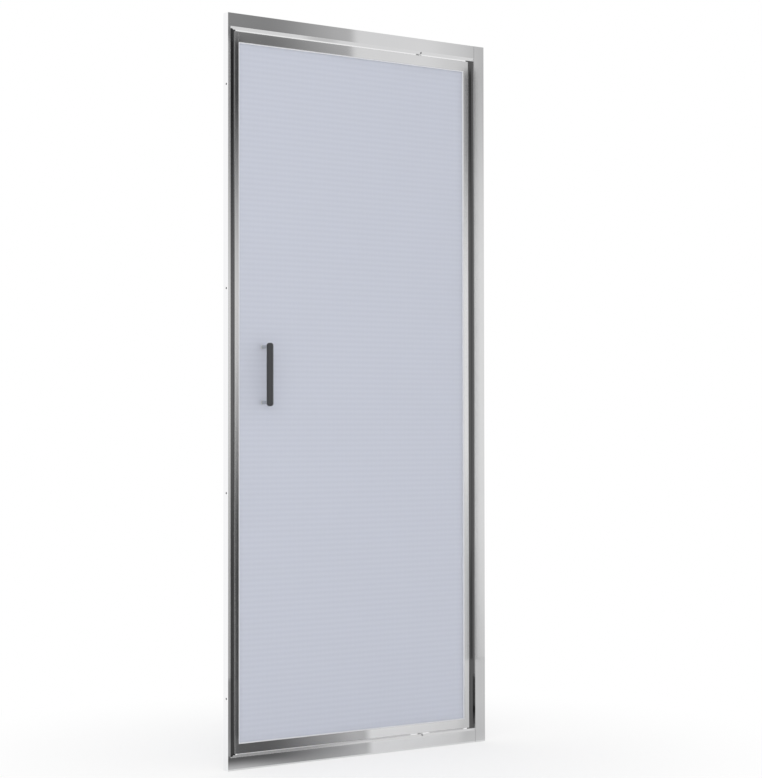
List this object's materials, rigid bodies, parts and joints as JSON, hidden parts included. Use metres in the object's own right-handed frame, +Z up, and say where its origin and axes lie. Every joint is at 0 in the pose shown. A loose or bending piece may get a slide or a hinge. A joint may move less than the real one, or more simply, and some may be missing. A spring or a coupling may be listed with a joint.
{
  "type": "framed pivot shower door",
  "caption": "Niche shower door: aluminium frame, satin-glass leaf on offset pivots, magnetic strike seal and a bar handle.",
  "frame": {"origin": "middle of the door's width on the tray, under the middle of the leaf's thickness", "axes": "+X along the door from the closing side to the pivot side, -Y to the room, +Z up"},
  "size_m": [0.8, 0.057, 1.85],
  "materials": {
    "polished_aluminium": "extruded aluminium, polished and bright anodised",
    "black_seal": "soft black profile, satin",
    "clear_gasket": "pale grey translucent PVC",
    "satin_glass": "toughened satin glass with a fine linen print",
    "black_grip": "soft black grip",
    "bright_chrome": "chromed brass",
    "grey_nylon": "moulded nylon",
    "stainless": "stainless steel",
    "dark_screw": "blackened steel",
    "cast_zinc": "die-cast zinc"
  },
  "bodies": {
    "frame": {"header": "polished_aluminium", "sill": "polished_aluminium", "strike_jamb": "polished_aluminium", "hinge_jamb": "polished_aluminium", "wall_channel": "polished_aluminium", "channel_cap": "grey_nylon", "strike_seal": "black_seal", "stop_gasket": "black_seal", "hinge_seal": "black_seal", "top_bearing": "grey_nylon", "bottom_bearing": "grey_nylon", "lock_screws": "dark_screw", "frame_corner_screws": "stainless", "channel_fixing_screws": "stainless"},
    "leaf": {"left_stile": "polished_aluminium", "right_stile": "polished_aluminium", "top_rail": "polished_aluminium", "bottom_rail": "polished_aluminium", "leaf_strip": "black_seal", "front_gasket": "clear_gasket", "rear_gasket": "clear_gasket", "drip_seal": "clear_gasket", "glass_pane": "satin_glass", "handle_bar": "black_grip", "handle_posts": "bright_chrome", "inner_washers": "bright_chrome", "cap_nuts": "bright_chrome", "pivot_washers": "grey_nylon", "glass_sleeves": "grey_nylon", "setting_blocks": "grey_nylon", "leaf_corner_screws": "stainless", "carrier_screws": "stainless", "top_pin": "stainless", "bottom_pin": "stainless", "handle_studs": "stainless", "top_carrier": "cast_zinc", "bottom_carrier": "cast_zinc"}
  },
  "joints": [
    {"name": "leaf_pivot", "type": "hinge", "parent": "frame", "child": "leaf", "pos_m": [0.192, 0, 0], "axis": [0, 0, 1], "range_deg": [0, 100]}
  ]
}
